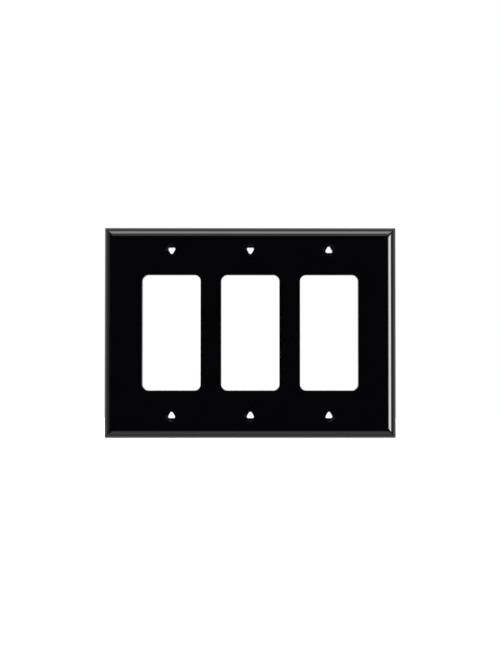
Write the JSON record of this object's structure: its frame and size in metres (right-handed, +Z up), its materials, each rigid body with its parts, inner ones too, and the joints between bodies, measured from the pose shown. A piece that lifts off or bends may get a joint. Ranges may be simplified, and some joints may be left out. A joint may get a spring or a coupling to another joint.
{
  "type": "wall plate cover",
  "caption": "Gloss black three-gang wall plate with rectangular device openings, curved edges and loose oval-head mounting screws stored in its hollow back.",
  "frame": {"origin": "centre of the plane of the rear rim, which is the wall plane", "axes": "+X to the right along the plate's width seen from the room, +Y into the wall, +Z up; the front faces -Y"},
  "size_m": [0.1714, 0.0089, 0.1238],
  "materials": {
    "gloss_black_plastic": "mirror-gloss moulded black in front, satin behind",
    "black_painted_steel": "gloss black paint on the head, bright zinc on the rolled thread"
  },
  "bodies": {
    "plate": {"wall_plate": "gloss_black_plastic"},
    "screw_1": {"plate_screw_1": "black_painted_steel"},
    "screw_2": {"plate_screw_2": "black_painted_steel"},
    "screw_3": {"plate_screw_3": "black_painted_steel"},
    "screw_4": {"plate_screw_4": "black_painted_steel"},
    "screw_5": {"plate_screw_5": "black_painted_steel"},
    "screw_6": {"plate_screw_6": "black_painted_steel"}
  },
  "joints": [
    {"name": "screw_1_lift_out", "type": "slide", "parent": "plate", "child": "screw_1", "axis": [0, 1, 0], "range_m": [0, 0.02]},
    {"name": "screw_2_lift_out", "type": "slide", "parent": "plate", "child": "screw_2", "axis": [0, 1, 0], "range_m": [0, 0.02]},
    {"name": "screw_3_lift_out", "type": "slide", "parent": "plate", "child": "screw_3", "axis": [0, 1, 0], "range_m": [0, 0.02]},
    {"name": "screw_4_lift_out", "type": "slide", "parent": "plate", "child": "screw_4", "axis": [0, 1, 0], "range_m": [0, 0.02]},
    {"name": "screw_5_lift_out", "type": "slide", "parent": "plate", "child": "screw_5", "axis": [0, 1, 0], "range_m": [0, 0.02]},
    {"name": "screw_6_lift_out", "type": "slide", "parent": "plate", "child": "screw_6", "axis": [0, 1, 0], "range_m": [0, 0.02]}
  ]
}
